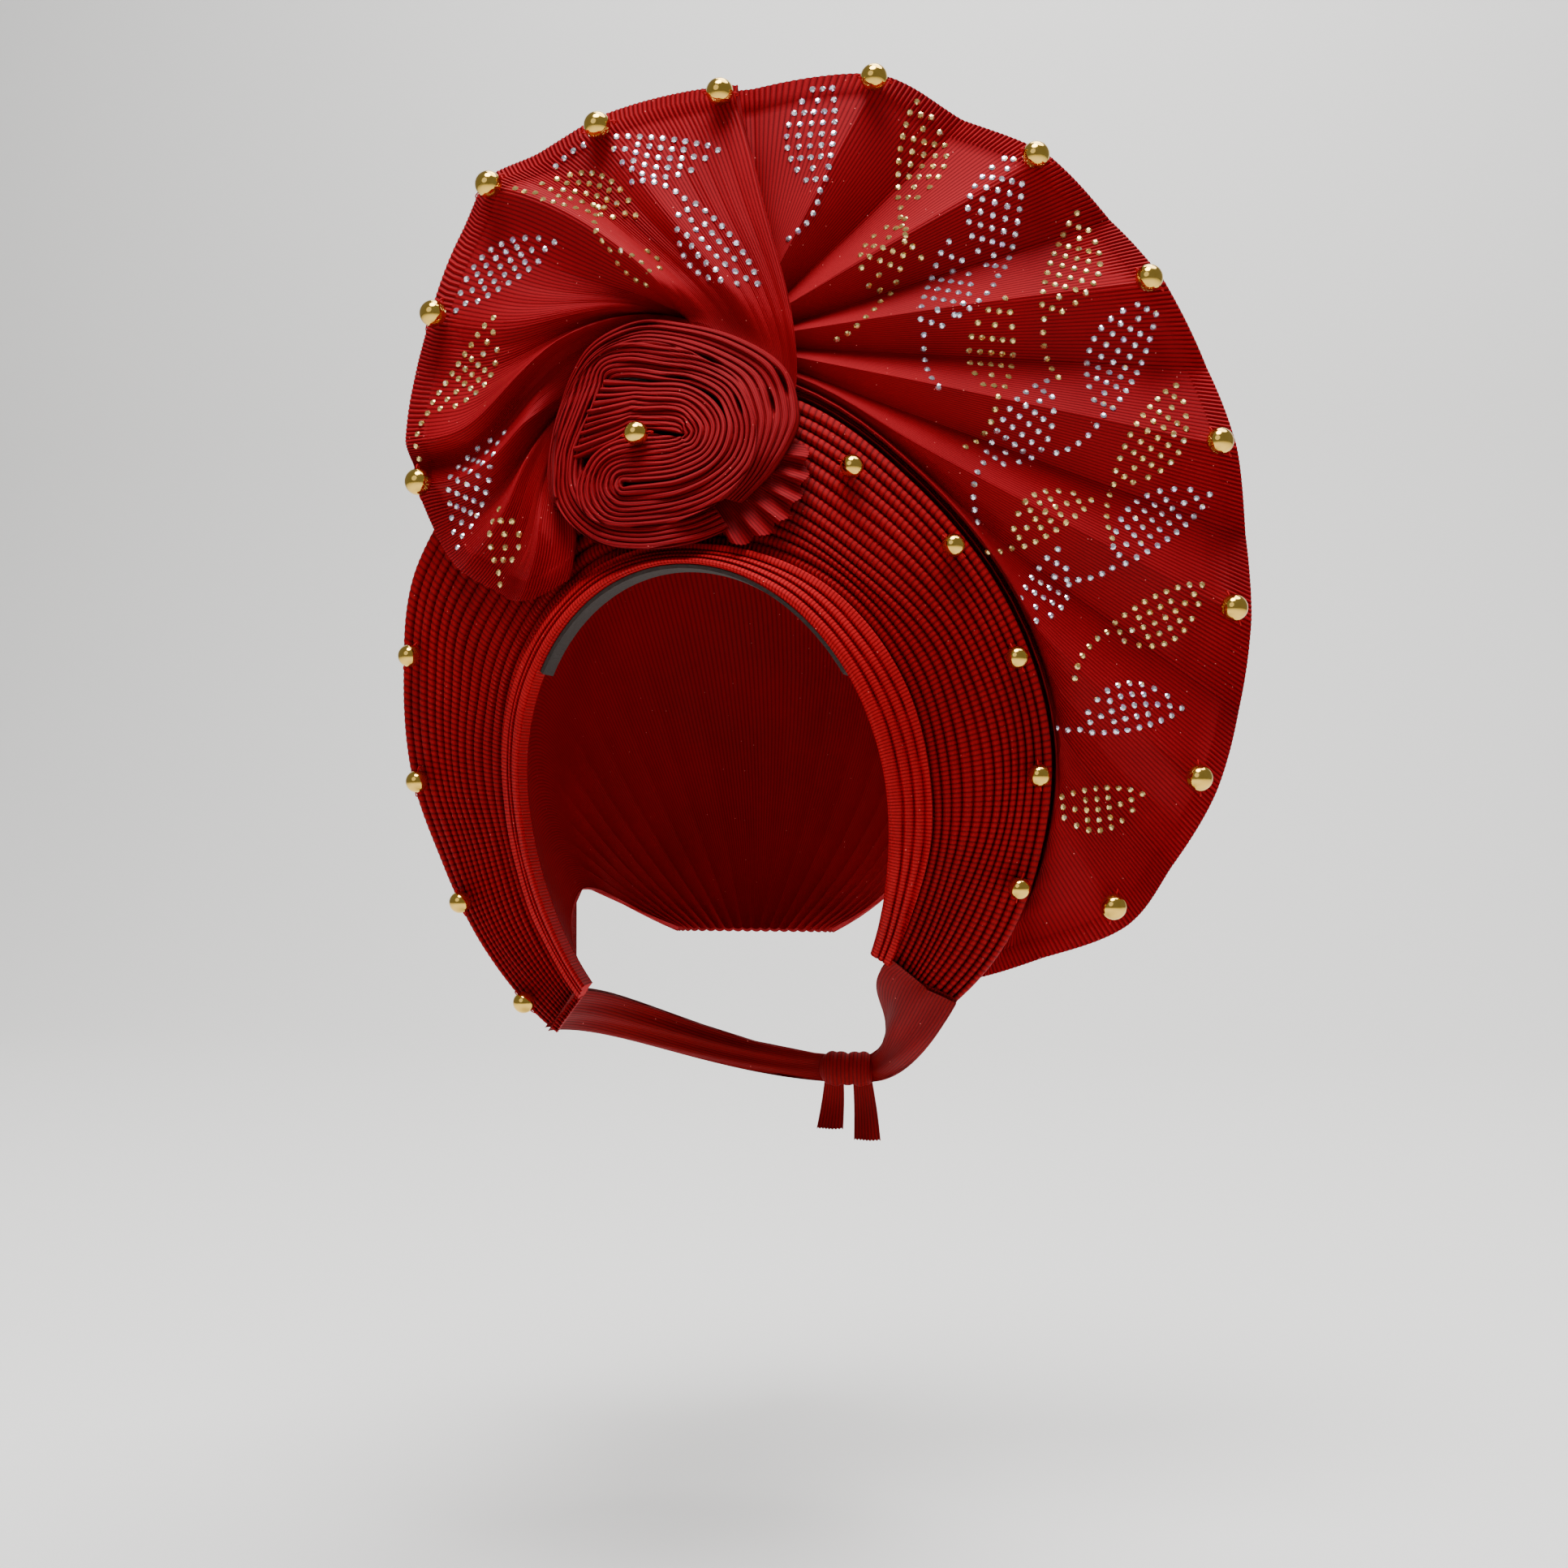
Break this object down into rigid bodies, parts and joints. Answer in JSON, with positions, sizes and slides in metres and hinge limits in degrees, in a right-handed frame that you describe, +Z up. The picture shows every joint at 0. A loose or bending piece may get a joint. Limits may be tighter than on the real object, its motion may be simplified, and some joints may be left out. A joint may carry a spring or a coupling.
{
  "type": "tied gele head tie",
  "caption": "Pre-tied head wrap of ribbed red cloth with a pleated brim, a fanned top, a coiled rosette, a crown cap and gold beads.",
  "frame": {"origin": "centre of the head opening, level with the wearer's temples, where the head seats", "axes": "the wearer faces -Y, +X is the wearer's left and +Z is up"},
  "size_m": [0.3202, 0.2043, 0.4129],
  "materials": {
    "corded_red_cloth": "satin",
    "band_red_cloth": "satin",
    "interlining": "matte",
    "gold_bead": "polished"
  },
  "bodies": {
    "root": {"forehead_band": "band_red_cloth", "pleated_brim": "corded_red_cloth", "pleated_fan": "corded_red_cloth", "draped_fan": "corded_red_cloth", "rosette_coil": "corded_red_cloth", "rosette_wrap": "corded_red_cloth", "rosette_frill": "corded_red_cloth", "crown_cap": "corded_red_cloth", "nape_strap_left": "corded_red_cloth", "nape_strap_right": "corded_red_cloth", "nape_knot": "corded_red_cloth", "tie_tail_left": "corded_red_cloth", "tie_tail_right": "corded_red_cloth", "interlining_strip": "interlining", "brim_bead_01": "gold_bead", "brim_bead_02": "gold_bead", "brim_bead_03": "gold_bead", "brim_bead_04": "gold_bead", "brim_bead_05": "gold_bead", "brim_bead_06": "gold_bead", "brim_bead_07": "gold_bead", "brim_bead_08": "gold_bead", "brim_bead_09": "gold_bead", "fan_bead_01": "gold_bead", "fan_bead_02": "gold_bead", "fan_bead_03": "gold_bead", "fan_bead_04": "gold_bead", "fan_bead_05": "gold_bead", "fan_bead_06": "gold_bead", "fan_bead_07": "gold_bead", "drape_bead_01": "gold_bead", "drape_bead_02": "gold_bead", "drape_bead_03": "gold_bead", "drape_bead_04": "gold_bead", "drape_bead_05": "gold_bead", "rosette_bead": "gold_bead"}
  },
  "joints": []
}
